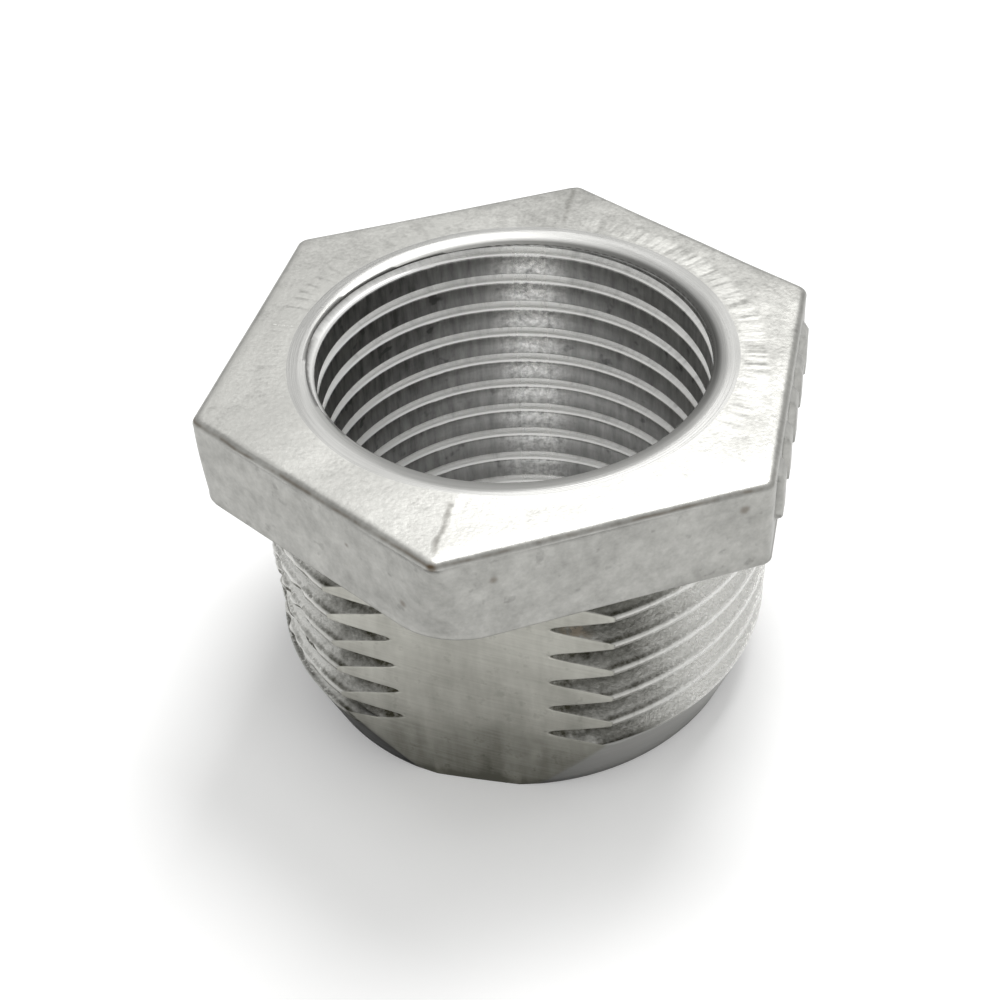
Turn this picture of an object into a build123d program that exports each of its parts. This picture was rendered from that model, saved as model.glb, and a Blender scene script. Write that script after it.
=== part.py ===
"""Cast hexagon bushing for pipe, 3/4 outside thread by 1/2 inside thread.

Millimetres, +Z up.  The bushing stands on the end of its outside thread at
z = 0 with the hexagon on top.  The casting's parting plane is x = 0, and the
hexagon corner that was dressed back faces -Y.  The bore is left plain, at the
size of the inside thread's crests.
"""
import math
import os

from build123d import *

# Hexagon
across_flats = 28.0
total_height = 19.0
hex_height = 5.15
corner_radius = 0.65          # the upright edges, rounded by the mould
dressed_corner_radius = 4.3   # the front corner at the underside, ground back
face_fall = 0.15              # drop of the top and underside from x = 0 out to the side flats
top_edge_break = 0.3          # the edge round the top face, broken all the way round

# Outside taper thread, 14 turns to the inch with a 55 degree form
pitch = 25.4 / 14
flank_angle = 27.5            # half of the thread form
gauge_diameter = 26.441
gauge_height = 9.5            # height at which the gauge diameter is measured
taper = 1 / 16                # change of diameter for each unit of height
thread_depth = 1.162
root_flat = 0.302
crest_angle = -58.6           # a crest's middle passes this direction ...
crest_height = 8.61           # ... at this height

# Plain lead-in cone under the outside thread
cone_height = 3.42
cone_end_diameter = 23.3
cone_step = 0.05              # how far the cone's top stands inside the thread's crests

# Flat ground down the front, along the parting line
flat_distance_low = 11.25     # from the axis, at the foot
flat_distance_high = 11.46    # from the axis, under the hexagon

# Bore, open at both ends; its diameter is that of the inside thread's crests
bore_diameter = 19.9
countersink_diameter = 22.0
countersink_slope = 21.0      # from the horizontal
bottom_chamfer = 0.6

# Plain raised bars on the side flat at +X
bar_count = 5
bar_width = 1.5
bar_height = 2.9
bar_gap = 1.3
bar_relief = 0.35

half_flats = across_flats / 2
hex_bottom = total_height - hex_height
flank_slope = math.tan(math.radians(flank_angle))
beyond = 1.0                  # how far a cutter runs past the metal it cuts


def hexagon_outline(height, front_radius):
    """Hexagon outline at one height, with its own radius on the corner facing -Y."""
    directions = [math.radians(-90 + 60 * k) for k in range(6)]
    radii = [front_radius] + [corner_radius] * 5
    edges = []
    starts = []
    ends = []
    for direction, radius in zip(directions, radii):
        middle = (half_flats - radius) / math.cos(math.radians(30))
        middle_x = middle * math.cos(direction)
        middle_y = middle * math.sin(direction)
        points = []
        for turn in (-30, 0, 30):
            angle = direction + math.radians(turn)
            x = middle_x + radius * math.cos(angle)
            y = middle_y + radius * math.sin(angle)
            points.append((x, y, height))
        edges.append(ThreePointArc(*points))
        starts.append(points[0])
        ends.append(points[2])
    sides = [Line(ends[k], starts[(k + 1) % 6]) for k in range(6)]
    loop = [edge for pair in zip(edges, sides) for edge in pair]
    return Face(Wire(loop))


def make_hexagon():
    """Hexagon with both ends falling away slightly on each side of the parting plane."""
    low = hexagon_outline(hex_bottom - beyond, dressed_corner_radius)
    middle = hexagon_outline(hex_bottom, dressed_corner_radius)
    high = hexagon_outline(total_height, corner_radius)
    over = hexagon_outline(total_height + beyond, corner_radius)
    column = loft([low, middle], ruled=True) + loft([middle, high], ruled=True)
    column += loft([high, over], ruled=True)
    reach = across_flats
    fall = face_fall * reach / half_flats
    roof = Polyline(
        (0, 0, total_height),
        (reach, 0, total_height - fall),
        (reach, 0, hex_bottom + fall),
        (0, 0, hex_bottom),
        (-reach, 0, hex_bottom + fall),
        (-reach, 0, total_height - fall),
        close=True,
    )
    slab = extrude(Face(Wire(roof.edges())), amount=reach, dir=(0, 1, 0), both=True)
    hexagon = column & slab
    rim = hexagon.edges().filter_by(lambda e: e.center().Z > total_height - 2 * face_fall)
    rim = rim.filter_by(lambda e: math.hypot(e.center().X, e.center().Y) > half_flats * 0.9)
    return chamfer(rim, top_edge_break)


def crest_radius(z):
    return (gauge_diameter + taper * (z - gauge_height)) / 2


def groove_cutters(low, high):
    """Half-turn lengths of the wedge that cuts the thread's groove, from low to high."""
    half_root = root_flat / 2
    over = 0.2                # the wedge stands this far out of the crests
    half_mouth = half_root + (thread_depth + over) * flank_slope
    profile = (
        (-thread_depth, -half_root),
        (-thread_depth, half_root),
        (over, half_mouth),
        (over, -half_mouth),
    )
    groove_height = crest_height + pitch / 2
    first = math.floor((low - groove_height - pitch) / pitch * 2)
    last = math.ceil((high - groove_height + pitch) / pitch * 2)
    cutters = []
    for half_turn in range(first, last):
        rails = []
        for outward, upward in profile:
            points = []
            for step in range(7):
                turned = half_turn * 180 + step * 30
                z = groove_height + upward + pitch * turned / 360
                r = crest_radius(z) + outward
                direction = math.radians(crest_angle + turned)
                points.append(Vector(r * math.cos(direction), r * math.sin(direction), z))
            rails.append(Edge.make_spline(points))
        sides = [Face.make_surface_from_curves(rails[k], rails[(k + 1) % 4]) for k in range(4)]
        for end in (0, 1):
            sides.append(Face(Wire.make_polygon([rail @ end for rail in rails], close=True)))
        cutters.append(Solid(Shell(sides)))
    return cutters


def make_thread():
    """Tapered shank with the outside thread, from the cone up into the hexagon."""
    top = hex_bottom + 2 * face_fall
    shank = Solid.make_cone(crest_radius(cone_height), crest_radius(top), top - cone_height)
    shank = Location((0, 0, cone_height)) * shank
    for cutter in groove_cutters(cone_height, top):
        shank = shank - cutter
    return shank


def make_cone():
    """Plain cone that leads the outside thread into its socket."""
    start = crest_radius(cone_height) - cone_step
    return Solid.make_cone(cone_end_diameter / 2, start, cone_height)


def make_bars():
    """Row of plain raised bars, centred on the flat that faces +X."""
    bars = []
    middle_height = total_height - hex_height / 2
    for k in range(bar_count):
        y = (k - (bar_count - 1) / 2) * (bar_width + bar_gap)
        place = Plane(origin=(half_flats, y, middle_height), x_dir=(0, 1, 0), z_dir=(1, 0, 0))
        face = place * Rectangle(bar_width, bar_height)
        bars.append(extrude(face, amount=bar_relief, both=True))
    return bars


def bore_cutter():
    """Straight bore with the countersink above and the chamfer below."""
    r = bore_diameter / 2
    top_r = countersink_diameter / 2
    rise = math.tan(math.radians(countersink_slope))
    sink_bottom = total_height - (top_r - r) * rise
    outline = Polyline(
        (0, 0, -beyond),
        (r + bottom_chamfer + beyond, 0, -beyond),
        (r, 0, bottom_chamfer),
        (r, 0, sink_bottom),
        (top_r + beyond / rise, 0, total_height + beyond),
        (0, 0, total_height + beyond),
        close=True,
    )
    return revolve(Face(Wire(outline.edges())), Axis.Z)


def flat_cutter():
    """What the grinding took off the front of the shank, under the hexagon."""
    lean = (flat_distance_high - flat_distance_low) / hex_bottom
    top = hex_bottom + 3 * face_fall
    outline = Polyline(
        (0, -flat_distance_low + lean * beyond, -beyond),
        (0, -flat_distance_low - lean * top, top),
        (0, -across_flats, top),
        (0, -across_flats, -beyond),
        close=True,
    )
    return extrude(Face(Wire(outline.edges())), amount=across_flats, dir=(1, 0, 0), both=True)


shank = make_thread() + make_cone() - flat_cutter()
bushing = make_hexagon() + shank
for bar in make_bars():
    bushing += bar
bushing -= bore_cutter()

os.makedirs("parts", exist_ok=True)
solids = bushing.solids()
print("solids", len(solids), "valid", bushing.is_valid, "volume", round(bushing.volume, 1))
export_step(solids[0], "parts/bushing.step")
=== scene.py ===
"""The looks of a cast hexagon bushing for pipe: the metal's shape in full, its finishes, the
table it stands on, the light and the camera.  Metres, +Z up, thread axis on Z; the casting's own
sizes are in millimetres until its mesh is made."""
import math

import bmesh
import bpy
import numpy as np
from mathutils import Matrix, Vector


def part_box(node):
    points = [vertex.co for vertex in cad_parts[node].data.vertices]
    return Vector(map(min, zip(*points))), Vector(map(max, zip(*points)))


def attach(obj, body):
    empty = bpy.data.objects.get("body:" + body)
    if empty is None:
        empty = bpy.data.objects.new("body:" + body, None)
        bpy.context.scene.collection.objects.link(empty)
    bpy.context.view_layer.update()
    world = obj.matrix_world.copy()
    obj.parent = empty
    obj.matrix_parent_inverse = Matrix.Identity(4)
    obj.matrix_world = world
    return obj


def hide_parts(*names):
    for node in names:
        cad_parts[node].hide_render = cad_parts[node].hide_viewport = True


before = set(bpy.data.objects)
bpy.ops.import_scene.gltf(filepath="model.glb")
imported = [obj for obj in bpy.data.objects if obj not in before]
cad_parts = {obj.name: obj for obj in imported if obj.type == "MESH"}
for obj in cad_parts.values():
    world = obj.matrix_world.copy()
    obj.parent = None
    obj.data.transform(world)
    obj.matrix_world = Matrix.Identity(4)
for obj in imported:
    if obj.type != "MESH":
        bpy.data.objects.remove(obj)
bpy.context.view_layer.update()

# --- The casting ---------------------------------------------------------------------------------
# One piece of stainless steel.  A band of metal is followed from the mouth over the hexagon, down
# the outside thread to the foot, and a second one goes down the bore.  Both are rings of columns,
# one for each direction round the axis, with rows of points from top to bottom.
MM = 0.001
low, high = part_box("bushing")
total_height = high.z / MM
half_flats = -low.x / MM
hex_height = 5.15
hex_bottom = total_height - hex_height
face_fall = 0.15                # drop of the hexagon's ends from x = 0 to the side flats
corner_radius = 0.65
ground_corner = 3.65            # what grinding adds to the front corner's radius, at the underside
ground_left = 1.3               # the same for the next corner on the left
pitch = 25.4 / 14
flank_slope = math.tan(math.radians(27.5))
root_flat = 0.302
groove_depth = 1.162
half_mouth = root_flat / 2 + groove_depth * flank_slope     # half a groove's width at the crests
gauge_radius = 13.2205
gauge_height = 9.5
taper = 1 / 32                  # change of the thread's radius for each unit of height
crest_angle = -58.6             # a crest's middle passes this direction ...
crest_height = 8.61             # ... at this height
cone_top = 3.42
cone_foot_radius = 11.65
cone_lean = 0.401               # change of the cone's radius for each unit of height
flat_distance = 11.33           # from the axis to the middle of the ground flat, at the foot
flat_lean = 0.02                # how much further out it is for each unit of height
flat_crown = 0.006              # how it falls off to each side, times the distance squared
foot_flare = 0.15               # how much further out still it turns at the very foot ...
flare_height = 1.5              # ... and from what height
bore_radius = 9.95
inner_depth = 0.55              # of the inside thread's grooves
inner_root_flat = 0.06
inner_angle = 98.9              # an inside groove's middle passes this direction ...
inner_height = 18.2             # ... at this height
mouth_bottom = total_height - 0.4
mouth_edge = 11.3
chamfer = 0.6


def soft_min(a, b, width):
    """The smaller of two values, rounded over where they cross."""
    h = np.clip(0.5 + 0.5 * (b - a) / width, 0, 1)
    return b * (1 - h) + a * h - width * h * (1 - h)


def soft_step(value, start, end):
    """0 before start, 1 after end, smooth between."""
    t = np.clip((value - start) / (end - start), 0, 1)
    return t * t * (3 - 2 * t)


def ripple(a, b, c, size, seed):
    """Gentle unevenness, mostly between -1 and 1, from a few waves laid across each other."""
    waves = 9
    rng = np.random.default_rng(seed)
    total = 0.0
    for _ in range(waves):
        wave = rng.normal(0, 1 / size, 3)
        total = total + np.sin(a * wave[0] + b * wave[1] + c * wave[2] + rng.uniform(0, 6.3))
    return total / math.sqrt(waves)


def hexagon_radius(direction, z):
    """Distance from the axis to the hexagon's side; two front corners are ground back lower down."""
    turned = (direction + 120) % 360
    off_corner = np.radians(turned % 60 - 30)
    front = (turned < 60) * 1.0
    left = (turned >= 300) * 1.0
    fall = 1 - np.clip((z - hex_bottom) / hex_height, 0, 1)
    radius = corner_radius + front * fall * ground_corner + left * fall**2 * ground_left
    middle = (half_flats - radius) / math.cos(math.pi / 6)
    ends = np.arctan2(radius * 0.5, middle + radius * math.cos(math.pi / 6))
    across = middle * np.sin(off_corner)
    rounded = middle * np.cos(off_corner) + np.sqrt(np.maximum(radius**2 - across**2, 0))
    straight = half_flats / np.cos(math.pi / 6 - np.abs(off_corner))
    return np.where(np.abs(off_corner) < ends, rounded, straight)


def thread_depth(z, middle, flat, depth):
    """Depth cut at height z by grooves a pitch apart, one with its middle at the given height."""
    off = np.abs((z - middle + pitch / 2) % pitch - pitch / 2)
    sharp = (flat / 2 - off) / flank_slope + depth
    return -soft_min(-soft_min(sharp, depth, 0.3 * depth), 0.0, 0.07)


def outer_middle(direction):
    """Height of an outside groove's middle."""
    return crest_height + pitch / 2 + pitch * (direction - crest_angle) / 360


def outer_crest(z):
    """Radius of the outside thread's crests."""
    return gauge_radius + (z - gauge_height) * taper


def outer_radius(direction, z):
    """Outside thread, its crests bruised on the left."""
    bruised = soft_step(-direction, 122, 140) * soft_step(direction, -235, -200)
    cut = thread_depth(z, outer_middle(direction), root_flat, groove_depth) * (1 - 0.25 * bruised)
    arc = np.radians(direction) * 13
    lumps = 0.12 + 0.09 * ripple(arc, 0, z, 0.5, 21) + 0.09 * ripple(arc, 0, z, 0.22, 5)
    return outer_crest(z) - np.maximum(cut, bruised * np.clip(lumps, 0, 0.5))


def inner_middle(direction):
    """Height of an inside groove's middle."""
    return inner_height + pitch * (direction - inner_angle) / 360


def inner_radius(direction, z):
    """Inside thread, cut outward from the bore."""
    return bore_radius + thread_depth(z, inner_middle(direction), inner_root_flat, inner_depth)


def columns():
    """Directions round the axis, closer together where an edge is crossed."""
    all_round = (-270, 90, 1.5)
    ground_front = (-124, -56, 0.5)
    raised_bars = (-27, 27, 0.6)
    spans = [all_round, ground_front, raised_bars]
    for k in range(6):
        spans.append((-212 + 60 * k, -208 + 60 * k, 0.25))
    marks = set()
    for start, end, step in spans:
        for k in range(round((end - start) / step)):
            marks.add(round(start + k * step, 3))
    return np.array(sorted(m for m in marks if -270 <= m < 90))


def helical_rows(direction, middle, offsets, z_low, z_high):
    """Heights that follow the groove round, from high to low, held inside two limits.

    Turns beyond a limit lie together on it, ready for where the groove climbs past it.
    """
    spare = 5
    count = int((z_high - z_low) / pitch) + spare
    first = math.ceil((z_high - middle(-270)) / pitch) + 1
    heights = []
    for turn in range(count):
        groove = middle(direction) + (first - turn) * pitch
        for offset in offsets(groove):
            heights.append(np.clip(groove + offset, z_low, z_high))
    return heights


def ring_mesh(direction, parts):
    """Vertices and faces of a ring; each part is (shift, zone, [(radius, height), ...]).

    Shift is how many rows a part's points have moved down when the ring closes on itself.
    """
    points = []
    closing = []
    zones = []
    for shift, zone, rows in parts:
        start = len(points)
        for k, (radius, height) in enumerate(rows):
            points.append((radius, height))
            closing.append(start + min(max(k - shift, 0), len(rows) - 1))
            zones.append(zone)
    radius = np.array([np.broadcast_to(p[0], direction.shape) for p in points])
    height = np.array([np.broadcast_to(p[1], direction.shape) for p in points])
    x = radius * np.cos(np.radians(direction))
    y = radius * np.sin(np.radians(direction))
    count = len(points)
    vertices = np.stack([x, y, height], axis=2).transpose(1, 0, 2).reshape(-1, 3)
    faces = []
    marks = []
    for i in range(len(direction)):
        last = i == len(direction) - 1
        here = i * count
        for j in range(count - 1):
            if last:
                a, b = closing[j], closing[j + 1]
                faces.append((here + j, here + j + 1, b, a))
            else:
                there = here + count
                faces.append((here + j, here + j + 1, there + j + 1, there + j))
            marks.append(zones[j + 1])
    return vertices, faces, marks


around = columns()
cosine = np.cos(np.radians(around))
sine = np.sin(np.radians(around))


def ground_radius(z):
    """Distance from the axis to the flat ground down the front, which leans and is crowned."""
    flare = foot_flare * np.clip(1 - z / flare_height, 0, 1) ** 2
    distance = flat_distance + flat_lean * z + flare
    root = np.sqrt(sine**2 + 4 * flat_crown * distance * cosine**2)
    return np.where(-sine > 0.3, 2 * distance / np.maximum(root - sine, 0.3), 99.0)


def top_height(radius):
    """Height of the top face, which falls a little to both sides and is slightly uneven."""
    x = radius * cosine
    lumps = 0.018 * (ripple(x, radius * sine, 0, 2.2, 4) - 1.5)
    return total_height - face_fall * np.abs(x) / half_flats + lumps


def mouth_rows():
    """Countersink, rounded over into the top face."""
    inner = inner_radius(around, mouth_bottom)
    rows = [(inner, mouth_bottom)]
    rise = math.tan(math.radians(21))
    for r in (bore_radius, 10.05, 10.2, 10.4, 10.6, 10.75, 10.87, 10.97, 11.07, 11.2, mouth_edge):
        radius = np.maximum(r, inner)
        cone = mouth_bottom + (radius - bore_radius) * rise
        rows.append((radius, soft_min(cone, top_height(radius), 0.07)))
    return rows


inset = 0.045                   # how far the cast sides lie inside the full hexagon


def top_rows():
    """Flat top of the hexagon, out to the rolled edge."""
    edge = hexagon_radius(around, total_height) - inset
    roll_width = 0.5
    roll_height = 0.36
    flat_width = edge - roll_width - 0.005 - mouth_edge
    rows = []
    for part in (0.0, 0.12, 0.28, 0.46, 0.64, 0.82, 1.0):
        radius = mouth_edge + flat_width * part
        rows.append((radius, top_height(radius)))
    for k in range(1, 7):
        turn = math.radians(15 * k)
        radius = edge - roll_width * (1 - math.sin(turn))
        rows.append((radius, top_height(radius) - roll_height * (1 - math.cos(turn))))
    return rows


def side_rows():
    """Sides of the hexagon, with the row of plain raised bars on the one that faces +X."""
    bar_space = 2.8
    half_width = 0.75
    half_height = 1.45
    half_row = 2.5 * bar_space
    relief = 0.34
    top = top_height(hexagon_radius(around, total_height)) - 0.4
    foot = hex_bottom + 0.25
    rows = []
    for k in range(19):
        z = top + (foot - top) * k / 18
        radius = hexagon_radius(around, z)
        y = radius * sine
        off_middle = np.abs(z - total_height + hex_height / 2)
        off_bar = np.abs((y + half_row) % bar_space - bar_space / 2)
        bars = soft_step(half_height - off_middle, 0, 0.3) * soft_step(half_width - off_bar, -0.1, 0.2)
        bars = bars * (np.abs(y) < half_row) * (np.abs(around) < 29)
        dips = 0.02 * (ripple(radius * cosine, y, z, 2.0, 9) - 1.6)
        rows.append((radius - inset + relief * bars + dips * (1 - bars), z))
    return rows


def underside_rows():
    """Under the hexagon, in to the top of the thread."""
    edge = hexagon_radius(around, hex_bottom) - 0.03
    bottom = hex_bottom + 0.01
    roll = 0.25
    shank_top_radius = 13.36
    rows = []
    for k in range(1, 5):
        turn = math.radians(22.5 * k)
        rows.append((edge - roll * (1 - math.cos(turn)), bottom + roll * (1 - math.sin(turn))))
    shank = np.minimum(shank_top_radius, ground_radius(hex_bottom))
    for part in (0.3, 0.7, 1.0):
        radius = edge - roll + (shank - edge + roll) * part
        rows.append((radius, bottom + face_fall * np.abs(radius * cosine) / half_flats))
    return rows


def thread_offsets(groove):
    """Rows across a groove; they close in where the ground flat cuts it shallower."""
    left = ground_radius(groove) - outer_crest(groove) + groove_depth
    half = np.clip(root_flat / 2 + left * flank_slope, 0.0, half_mouth)
    crest = pitch / 2 + 0 * half
    above = [crest, half + (crest - half) * 0.5, half + 0.05, half, half * 0.93]
    inner = [half * 0.6, np.minimum(0.21, half * 0.35), np.minimum(0.09, half * 0.15)]
    return above + inner + [-h for h in reversed(above[1:] + inner)]


def thread_rows():
    """Outside thread, cut back by the ground flat, and how many rows one turn has."""
    rows = []
    for z in helical_rows(around, outer_middle, thread_offsets, cone_top, hex_bottom + 0.05):
        rows.append((np.minimum(outer_radius(around, z), ground_radius(z)), z))
    return len(thread_offsets(0.0)), rows


def foot_rows():
    """Plain cone, the ring it stands on, and the chamfer into the bore."""
    ground_lean = (ground_radius(cone_top) - ground_radius(0)) / cone_top
    crossing = (ground_radius(0) - cone_foot_radius) / (cone_lean - ground_lean)
    crossing = np.clip(crossing, 0.05, cone_top - 0.05)
    heights = [cone_top + (crossing - cone_top) * part for part in (0.0, 0.05, 0.3, 0.65, 1.0)]
    heights += [0.05 + (crossing - 0.05) * part for part in (0.9, 0.6, 0.3, 0.0)]
    rows = []
    for z in heights:
        rows.append((soft_min(cone_foot_radius + cone_lean * z, ground_radius(z), 0.25), z))
    rows.append((np.minimum(cone_foot_radius - 0.02, ground_radius(0) - 0.02), 0.02))
    rows.append((np.minimum(cone_foot_radius - 0.15, ground_radius(0) - 0.12), 0.0))
    rows.append((bore_radius + chamfer + 0.05, 0.0))
    rows.append((bore_radius + chamfer - 0.03, 0.04))
    return rows


def bore_offsets(groove):
    """Rows across an inside groove, the same all the way round."""
    flank = (0.38, 0.31, 0.22, 0.03)
    return (pitch / 2, *flank, *[-offset for offset in reversed(flank)])


def bore_rows(direction):
    """Inside thread, and how many rows one turn has."""
    rows = []
    for z in helical_rows(direction, inner_middle, bore_offsets, chamfer, mouth_bottom):
        rows.append((inner_radius(direction, z), z))
    return len(bore_offsets(0.0)), rows


CAST, MACHINED, THREAD, CONE, BORE = range(5)
thread_shift, thread_points = thread_rows()
outside = ring_mesh(
    around,
    [
        (0, MACHINED, mouth_rows()),
        (0, CAST, top_rows() + side_rows() + underside_rows()),
        (thread_shift, THREAD, thread_points),
        (0, CONE, foot_rows()),
        (0, BORE, [(inner_radius(around, chamfer), chamfer)]),
    ],
)
inside_around = around[::2]
bore_shift, bore_points = bore_rows(inside_around)
inside = ring_mesh(inside_around, [(bore_shift, BORE, bore_points)])

# The two rings become one mesh, joined where the bore meets the mouth and the foot.
mesh = bpy.data.meshes.new("bushing")
corners = np.concatenate([outside[0], inside[0]]) * MM
faces = outside[1] + [tuple(c + len(outside[0]) for c in reversed(f)) for f in inside[1]]
mesh.from_pydata(corners.tolist(), [], faces)
mesh.polygons.foreach_set("material_index", outside[2] + inside[2])
work = bmesh.new()
work.from_mesh(mesh)
bmesh.ops.remove_doubles(work, verts=work.verts, dist=0.000002)
bmesh.ops.recalc_face_normals(work, faces=work.faces)
work.to_mesh(mesh)
work.free()
mesh.shade_smooth()
bushing = bpy.data.objects.new("bushing", mesh)
bpy.context.scene.collection.objects.link(bushing)
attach(bushing, "root")
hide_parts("bushing")


# --- Finishes ------------------------------------------------------------------------------------
# Bare stainless steel all over, finished in different ways: the skin left by the mould and the
# blasting, the turned countersink and cone, the cut threads and the flat ground down the front.
# Each finish goes by where a point is on the bushing, in the millimetres used above.
class Value:
    """A shader socket that takes part in plain arithmetic.

    The first one of a tree has no socket and only makes nodes.
    """

    def __init__(self, tree, socket=None):
        self.tree = tree
        self.socket = socket

    def node(self, kind, settings, inputs, output=0):
        """A new node of the same tree: its settings first, then its sockets."""
        made = self.tree.nodes.new(kind)
        for name, setting in settings.items():
            setattr(made, name, setting)
        for name, value in inputs.items():
            if isinstance(value, Value):
                self.tree.links.new(value.socket, made.inputs[name])
            else:
                made.inputs[name].default_value = value
        return Value(self.tree, made.outputs[output])

    def math(self, operation, *others):
        """A maths node with this value as its first number."""
        numbers = dict(enumerate((self, *others)))
        return self.node("ShaderNodeMath", {"operation": operation}, numbers)

    def __add__(self, other):
        return self.math("ADD", other)

    def __radd__(self, other):
        return self.math("ADD", other)

    def __sub__(self, other):
        return self.math("SUBTRACT", other)

    def __rsub__(self, other):
        return self.math("MULTIPLY_ADD", -1.0, other)

    def __mul__(self, other):
        return self.math("MULTIPLY", other)

    def __rmul__(self, other):
        return self.math("MULTIPLY", other)

    def __truediv__(self, other):
        return self.math("DIVIDE", other)

    def clip(self):
        """Held between 0 and 1."""
        return self.node("ShaderNodeClamp", {}, {0: self})

    def step(self, start, end):
        """0 below start, 1 above end, smooth between."""
        return self.node(
            "ShaderNodeMapRange",
            {"interpolation_type": "SMOOTHSTEP"},
            {"Value": self, "From Min": start, "From Max": end},
        )

    def mix(self, low_colour, high_colour):
        """Colour between two colours, by this value."""
        return self.node(
            "ShaderNodeMix", {"data_type": "RGBA"}, {0: self, 6: low_colour, 7: high_colour}, 2
        )


class Place:
    """Where a point is on the bushing, in millimetres and radians, and noise laid over that."""

    def __init__(self, tree):
        self.start = Value(tree)
        self.point = self.start.node("ShaderNodeTexCoord", {}, {}, "Object")
        self.x, self.y, self.z = [
            self.start.node("ShaderNodeSeparateXYZ", {}, {0: self.point}, axis) * 1000 for axis in "XYZ"
        ]
        self.radius = (self.x * self.x + self.y * self.y).math("SQRT")
        self.direction = self.y.math("ARCTAN2", self.x)

    def noise(self, x, y, z, scale, detail=3.0, rough=0.55):
        """Noise over three coordinates, from 0 to 1, with features about 1 / scale across."""
        vector = self.start.node("ShaderNodeCombineXYZ", {}, {0: x, 1: y, 2: z})
        inputs = {"Vector": vector, "Scale": scale, "Detail": detail, "Roughness": rough}
        return self.start.node("ShaderNodeTexNoise", {}, inputs)

    def spot(self, x, y, z, size):
        """1 at a point, fading to 0 at a distance from it."""
        off = self.start.node(
            "ShaderNodeVectorMath",
            {"operation": "DISTANCE"},
            {0: self.point, 1: (x * MM, y * MM, z * MM)},
            "Value",
        )
        return 1.0 - off.step(0.2 * size * MM, size * MM)

    def cast(self, scale, detail=3.0, rough=0.55):
        """Noise through the body of the metal."""
        return self.noise(self.x, self.y, self.z, scale, detail, rough)


def grey(value, warmth=0.05):
    """A grey that leans to yellow by its warmth."""
    return (value, value * (1 - warmth * 0.1), value * (1 - warmth), 1.0)


def finish(name, look):
    """A metal from look(place), which gives its colour, its roughness and its relief in mm."""
    material = bpy.data.materials.new(name)
    material.use_nodes = True
    tree = material.node_tree
    shader = tree.nodes["Principled BSDF"]
    shader.inputs["Metallic"].default_value = 1.0
    colour, roughness, relief = look(Place(tree))
    bump = relief.node("ShaderNodeBump", {}, {"Height": relief, "Strength": 1.0, "Distance": MM})
    tree.links.new(colour.socket, shader.inputs["Base Color"])
    tree.links.new(roughness.socket, shader.inputs["Roughness"])
    tree.links.new(bump.socket, shader.inputs["Normal"])
    return material


def ridge(value, middle, half_width, soft):
    """1 on a line, 0 away from it."""
    off = (value - middle).math("ABSOLUTE")
    return 1.0 - off.step(half_width, half_width + soft)


def cast_look(place):
    """Blasted cast skin: soft mottling, fine grain, the parting seam and dirt on two edges, with
    painted light and shade on the top and painted glints round the mouth.
    """
    mottle = place.cast(0.55, 3.0, 0.55)
    fleck = place.cast(1.6, 3.0, 0.65)
    grain = place.cast(5.0, 2.0, 0.6)
    spots = place.cast(1.5, 2.0, 0.5).step(0.64, 0.74)
    shade = 0.44 + (mottle - 0.5) * 0.8 + (fleck - 0.5) * 0.8 + (grain - 0.5) * 0.35 - spots * 0.25

    # Painted light and shade: the top is painted lighter than the sides and darker toward the back,
    # lighter on the left and at the front right of the seam, and darker on the right.
    below = place.x.math("ABSOLUTE") * (face_fall / half_flats) + place.z - total_height
    top = below.step(-0.10, -0.03)
    left = top * (1.0 - place.x.step(-7.0, 0.0))
    right = top * place.x.step(6.0, 15.0)
    front = top * (1.0 - place.y.step(-11.0, -5.0)) * place.x.step(-0.1, 0.3)
    shade = shade + top * (0.34 - place.y * 0.02) + left * 0.30 + front * 0.12 - right * 0.12

    # The mould's parting seam crosses the top along x = 0.
    wobble = place.cast(0.5, 2.0, 0.5) - 0.5
    seam = ridge(place.x + wobble * 0.5, -0.10, 0.01, 0.24) * top
    seam = seam * (1.0 - place.y.step(-2.0, 2.0) * 0.6)
    seam = seam * place.radius.step(11.6, 12.2) * place.cast(0.8, 1.0, 0.5).step(0.3, 0.5)
    shade = shade - seam * 0.9

    # Short marks the countersinking tool left round the mouth. The bump is their relief; their light
    # and dark streaks in the colour, strongest on the right and the left and left out at the front, are
    # painted glints where they catch the light.
    radial = place.noise(place.direction * 34.0, place.radius * 0.3, 0.0, 1.0, 1.0, 0.5)
    glinting_sides = ridge(place.direction, 0.55, 0.5, 0.6) + 1.0 - place.x.step(-11.9, -10.5)
    ring = top * ridge(place.radius, 12.1, 0.3, 0.5) * (glinting_sides * 0.8 + 0.2) * (1.0 - front)
    shade = shade + ring * (radial - 0.46) * 3.2
    turned = place.noise(place.radius * 9.0, place.direction * 1.2, 0.0, 1.0, 3.0, 0.6)
    lip = top * (1.0 - place.radius.step(11.5, 11.9))
    shade = shade + lip * (turned - 0.45) * 0.5

    # Dirt in the seam, along the front edges and in a few small pits.
    rim = ridge(below + wobble * 0.16, -0.20, 0.0, 0.10) * (1.0 - place.y.step(-8.0, -5.5))
    rim = rim * place.cast(0.45, 3.0, 0.7).step(0.35, 0.60)
    at_corner = place.spot(0.0, -16.0, 18.75, 0.35)
    pits = place.spot(-1.8, -15.1, 15.5, 0.3) + place.spot(2.4, -14.8, 17.3, 0.3)
    pits = pits + place.spot(12.7, -8.8, 17.7, 0.35) + place.spot(-4.8, -13.4, 17.0, 0.2)
    darkening = (seam * 0.15 + rim * 0.6 + at_corner * 0.7 + pits * 0.5).clip()
    colour = shade.clip().mix(grey(0.29, 0.06), grey(0.62, 0.05))
    colour = darkening.mix(colour, (0.15, 0.115, 0.08, 1.0))
    relief = mottle * 0.03 + grain * 0.006 + ring * radial * 0.012
    return colour, 0.38 + (grain - 0.5) * 0.15 + darkening * 0.2, relief


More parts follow.
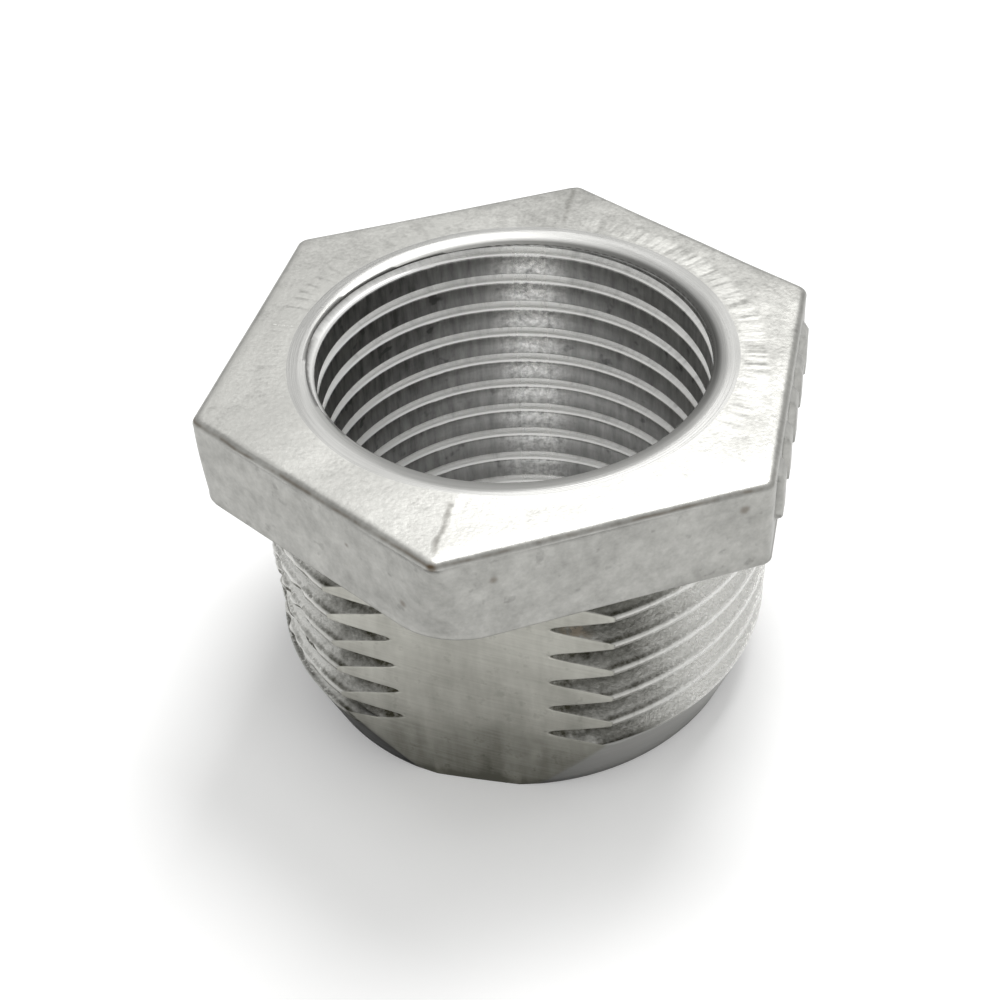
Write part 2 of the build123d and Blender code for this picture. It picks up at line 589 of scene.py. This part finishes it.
def ground_look(place):
    """Ground flat: fine lines that run nearly level, smudges, darker toward the foot, with painted
    shade along the foot itself.
    """
    across = place.z * 7.0 + place.x * 1.3
    lines = place.noise(place.x * 0.2, across, 0.0, 1.0, 4.0, 0.7)
    smudge = place.cast(0.4, 3.0, 0.6)
    runs = place.noise(place.x * 1.1, 0.0, place.z * 0.25, 1.0, 3.0, 0.6)
    spots = place.cast(1.6, 3.0, 0.6).step(0.58, 0.70)
    low_part = 1.0 - place.z.step(0.0, 7.0)
    # Painted shade in a thin band at the very foot, where it meets the table.
    foot_shade = 1.0 - place.z.step(0.0, 0.7)
    stain = ridge(place.x, 0.8, 0.2, 0.9) * (1.0 - place.z.step(3.0, 5.5))
    shade = 0.74 + (lines - 0.5) * 0.45 + (smudge - 0.5) * 0.7 + (runs - 0.5) * 0.5
    shade = shade - low_part * 0.50 - spots * 0.15 - stain * 0.2 - foot_shade * 0.3
    colour = shade.clip().mix(grey(0.17, 0.18), grey(0.68, 0.09))
    return colour, 0.42 + (lines - 0.5) * 0.2, lines * 0.006


def inside_flat(place):
    """How far in from the ground flat a point is."""
    return place.y + flat_distance + place.z * flat_lean - place.x * place.x * flat_crown


def thread_look(place):
    """Outside thread: bright crests and dirt in the grooves, with painted shade on the grooves' upper
    sides and along their edges, and painted light on the worn right side.
    """
    depth = outer_crest(place.z) - place.radius
    turns = (place.z - crest_height) / pitch
    turns = turns - (place.direction * (180 / math.pi) - crest_angle) / 360
    across = turns.math("FRACT") - 0.5
    # The right side is worn, and it is also painted lighter there: painted light.
    worn_and_lit = place.direction.step(-1.02, -0.55) * (1.0 - place.direction.step(0.1, 0.9))
    left = (place.direction - 3.35).math("COSINE").step(0.66, 0.82)
    specks = place.cast(3.2, 4.0, 0.75)
    patches = place.cast(0.8, 3.0, 0.6)
    sparks = place.cast(4.5, 2.0, 0.6).step(0.56, 0.66)
    groove = depth.step(0.03, 0.14)
    # Painted shade: the upper side of each groove, under the crest above, and the band along its edges
    # are darkened in the colour; the rest of the grooves' darkening is dirt.
    shaded_upper_side = across.step(-0.24, -0.06)
    edge = groove * (1.0 - depth.step(0.20, 0.38))
    darkening = groove * (0.32 + (specks - 0.5) + (patches - 0.5) * 0.9) + shaded_upper_side * 0.55 + edge * 0.45
    darkening = darkening + (1.0 - groove) * ((specks - 0.5) * 0.8 + (patches - 0.5) * 0.3)
    darkening = (darkening - (groove * 0.7 + 0.3) * left * 0.45) * (1.0 - worn_and_lit * 0.9)
    # Bright sparks on the right and the left: painted glints.
    darkening = (darkening - sparks * (worn_and_lit + left) * 0.5).clip()
    # Crests are painted lighter on the worn right side: painted light.
    bright = (worn_and_lit + left * 0.5).clip().mix(grey(0.60, 0.05), grey(1.0, 0.03))
    rust = place.spot(5.2, -11.3, 10.85, 1.1) * specks.step(0.42, 0.55)
    colour = (rust * 0.7).mix(darkening.mix(bright, grey(0.06, 0.35)), (0.50, 0.43, 0.35, 1.0))
    relief = place.cast(6.5, 3.0, 0.7) * (worn_and_lit * 0.16 + left * 0.06 + 0.02) + patches * 0.1
    return colour, 0.38 + darkening * 0.25 - worn_and_lit * 0.12, relief


def mixed(mask, low_look, high_look):
    """Between two looks, by a mask."""
    colour = mask.mix(low_look[0], high_look[0])
    roughness = low_look[1] + (high_look[1] - low_look[1]) * mask
    relief = low_look[2] + (high_look[2] - low_look[2]) * mask
    return colour, roughness, relief


def on_flat(place):
    """1 on the flat ground down the front, 0 off it."""
    return 1.0 - inside_flat(place).step(0.01, 0.05)


def shank_look(place):
    """Threaded part of the shank, with the ground flat down its front."""
    return mixed(on_flat(place), thread_look(place), ground_look(place))


def cone_look(place):
    """Turned cone, painted dark on the left and light on the right, with painted shade along the foot;
    on the left it is also bruised just under the thread.
    """
    streak = place.noise(place.direction * 2.0, place.z * 3.0, 0.0, 1.5, 3.0, 0.6)
    # Painted light and shade: lighter toward the right, darker on the left and in a band at the foot,
    # where it meets the table.
    right = place.x.step(-3.0, 9.0)
    shade = streak * 0.22 + right * 0.68 - (1.0 - place.z.step(0.0, 0.7)) * 0.3
    plain = (shade.clip().mix(grey(0.015, 0.02), grey(0.62, 0.03)), 0.40 + streak * 0.1, streak * 0.008)
    ragged = place.z + (place.cast(1.2, 3.0, 0.7) - 0.5) * 0.8
    bruised = ragged.step(2.6, 2.8) * (1.0 - place.x.step(-7.5, -4.3))
    return mixed(on_flat(place), mixed(bruised, plain, thread_look(place)), ground_look(place))


def mouth_look(place):
    """Countersink, turned smooth, painted lighter toward the front, with a line of painted shade where
    the thread starts, darkest at the back.
    """
    turned = place.noise(place.radius * 14.0, place.direction * 1.5, 0.0, 1.0, 3.0, 0.7)
    # Painted shade: a dark line at the inner edge, darkest at the back; painted light: lighter toward
    # the front.
    inner = (1.0 - place.radius.step(10.15, 10.5)) * (place.y.step(-9.0, 3.0) * 0.8 + 0.2)
    shade = 0.5 + (turned - 0.5) * 0.9 + (1.0 - place.y.step(-9.0, 3.0)) * 0.4
    colour = inner.mix(shade.clip().mix(grey(0.26, 0.03), grey(0.50, 0.03)), grey(0.10))
    return colour, 0.46 + (turned - 0.5) * 0.1, turned * 0.012


def bore_look(place):
    """Bore: dull crests with tool scratches along the axis, with painted highlights: bright flanks
    between them, a bright sparkling column down the back, and on the left darker crests and brighter
    flanks.
    """
    depth = ((place.radius - bore_radius) / inner_depth).clip()
    flank = depth.step(0.04, 0.12) * (1.0 - depth * 0.55)
    scratches = place.noise(place.direction * 22.0, place.z * 0.4, 0.0, 1.0, 3.0, 0.65)
    specks = place.noise(place.direction * 30.0, place.z * 3.0, 0.0, 1.0, 4.0, 0.7)
    blots = place.noise(place.direction * 9.0, place.z * 0.9, 0.0, 1.0, 2.0, 0.6).step(0.60, 0.72)
    # Painted highlight with sparkles down the back wall; painted shade on the crests on the left.
    shine = ridge(place.direction, 1.727, 0.02, 0.26)
    left = place.direction.math("ABSOLUTE").step(1.9, 2.6)
    deep = 1.0 - place.z.step(4.0, 17.0)
    shade = 0.27 + (scratches - 0.5) * 0.6 - blots * 0.18 - left * 0.18 + deep * 0.10
    shade = shade + shine * (0.42 + (specks - 0.5) * 2.2)
    burr = ridge(place.direction, 2.29, 0.02, 0.03) * ridge(depth, 0.2, 0.1, 0.1)
    # Painted highlight: the flanks are painted bright, brighter still on the left.
    shade = shade + flank * (0.85 + left * 0.4 + (specks - 0.5) * 0.5) + burr
    return shade.clip().mix(grey(0.13, 0.02), grey(1.0, 0.02)), 0.34 - shine * 0.08, specks * 0.01


for name, look in (
    ("cast skin", cast_look),
    ("countersink", mouth_look),
    ("outside thread", shank_look),
    ("cone", cone_look),
    ("bore", bore_look),
):
    mesh.materials.append(finish(name, look))

# --- Table and light -----------------------------------------------------------------------------
# A plain white table in a pale room.  One soft lamp stands high behind, a little to the right, and
# a weak one hangs overhead.
bpy.ops.mesh.primitive_plane_add(size=1.2)
floor = bpy.context.object
floor.name = "table"
white = bpy.data.materials.new("white table")
white.use_nodes = True
shader = white.node_tree.nodes["Principled BSDF"]
shader.inputs["Base Color"].default_value = grey(0.82, 0.0)
shader.inputs["Roughness"].default_value = 0.9
shader.inputs["Emission Strength"].default_value = 1.0
# A faint glow toward the camera alone keeps the table white without more light on the metal.
seen = Value(white.node_tree).node("ShaderNodeLightPath", {}, {}, "Is Camera Ray")
glow = seen.mix(grey(0.0, 0.0), grey(0.20, 0.0))
white.node_tree.links.new(glow.socket, shader.inputs["Emission Color"])
floor.data.materials.append(white)

world = bpy.data.worlds.new("room")
bpy.context.scene.world = world
world.use_nodes = True
room = world.node_tree.nodes["Background"]
room.inputs["Color"].default_value = (1.0, 1.0, 0.99, 1)
room.inputs["Strength"].default_value = 0.62


def lamp(name, place, size, power):
    """A square soft lamp that faces the middle of the bushing."""
    light = bpy.data.lights.new(name, "AREA")
    light.size = size
    light.energy = power
    made = bpy.data.objects.new(name, light)
    bpy.context.scene.collection.objects.link(made)
    made.location = place
    made.rotation_euler = (Vector((0, 0, 0.01)) - Vector(place)).to_track_quat("-Z", "Y").to_euler()


lamp("window", (0.045, 0.20, 0.42), 0.19, 1.35)
lamp("ceiling", (0.01, -0.01, 0.45), 0.12, 0.20)

# --- Camera --------------------------------------------------------------------------------------
# Close in front and above, a little to the right of the front corner and leaning slightly.  The
# lens is shifted, which frames the bushing without changing how its lines run together.
camera_data = bpy.data.cameras.new("camera")
camera = bpy.data.objects.new("camera", camera_data)
bpy.context.scene.collection.objects.link(camera)
lift = math.radians(34.464)
tilt = math.radians(0.486)
turn = Matrix.Rotation(math.radians(8.94), 3, "Z")
distance = 0.092859
aim = turn @ Vector((0.007035, 0.004937, 0.0)) + Vector((0, 0, high.z))
back = turn @ Vector((0, -math.cos(lift), math.sin(lift)))
right = turn @ Vector((1, 0, 0))
up = back.cross(right)
leaned = Matrix((
    math.cos(tilt) * right + math.sin(tilt) * up,
    math.cos(tilt) * up - math.sin(tilt) * right,
    back,
)).transposed()
camera.matrix_world = Matrix.Translation(aim + back * distance) @ leaned.to_4x4()
camera_data.lens = 63.85
camera_data.sensor_width = 36.0
camera_data.shift_x = -0.156
camera_data.shift_y = -0.208
camera_data.clip_start = 0.005
bpy.context.scene.camera = camera
bpy.context.scene.view_settings.view_transform = "Standard"
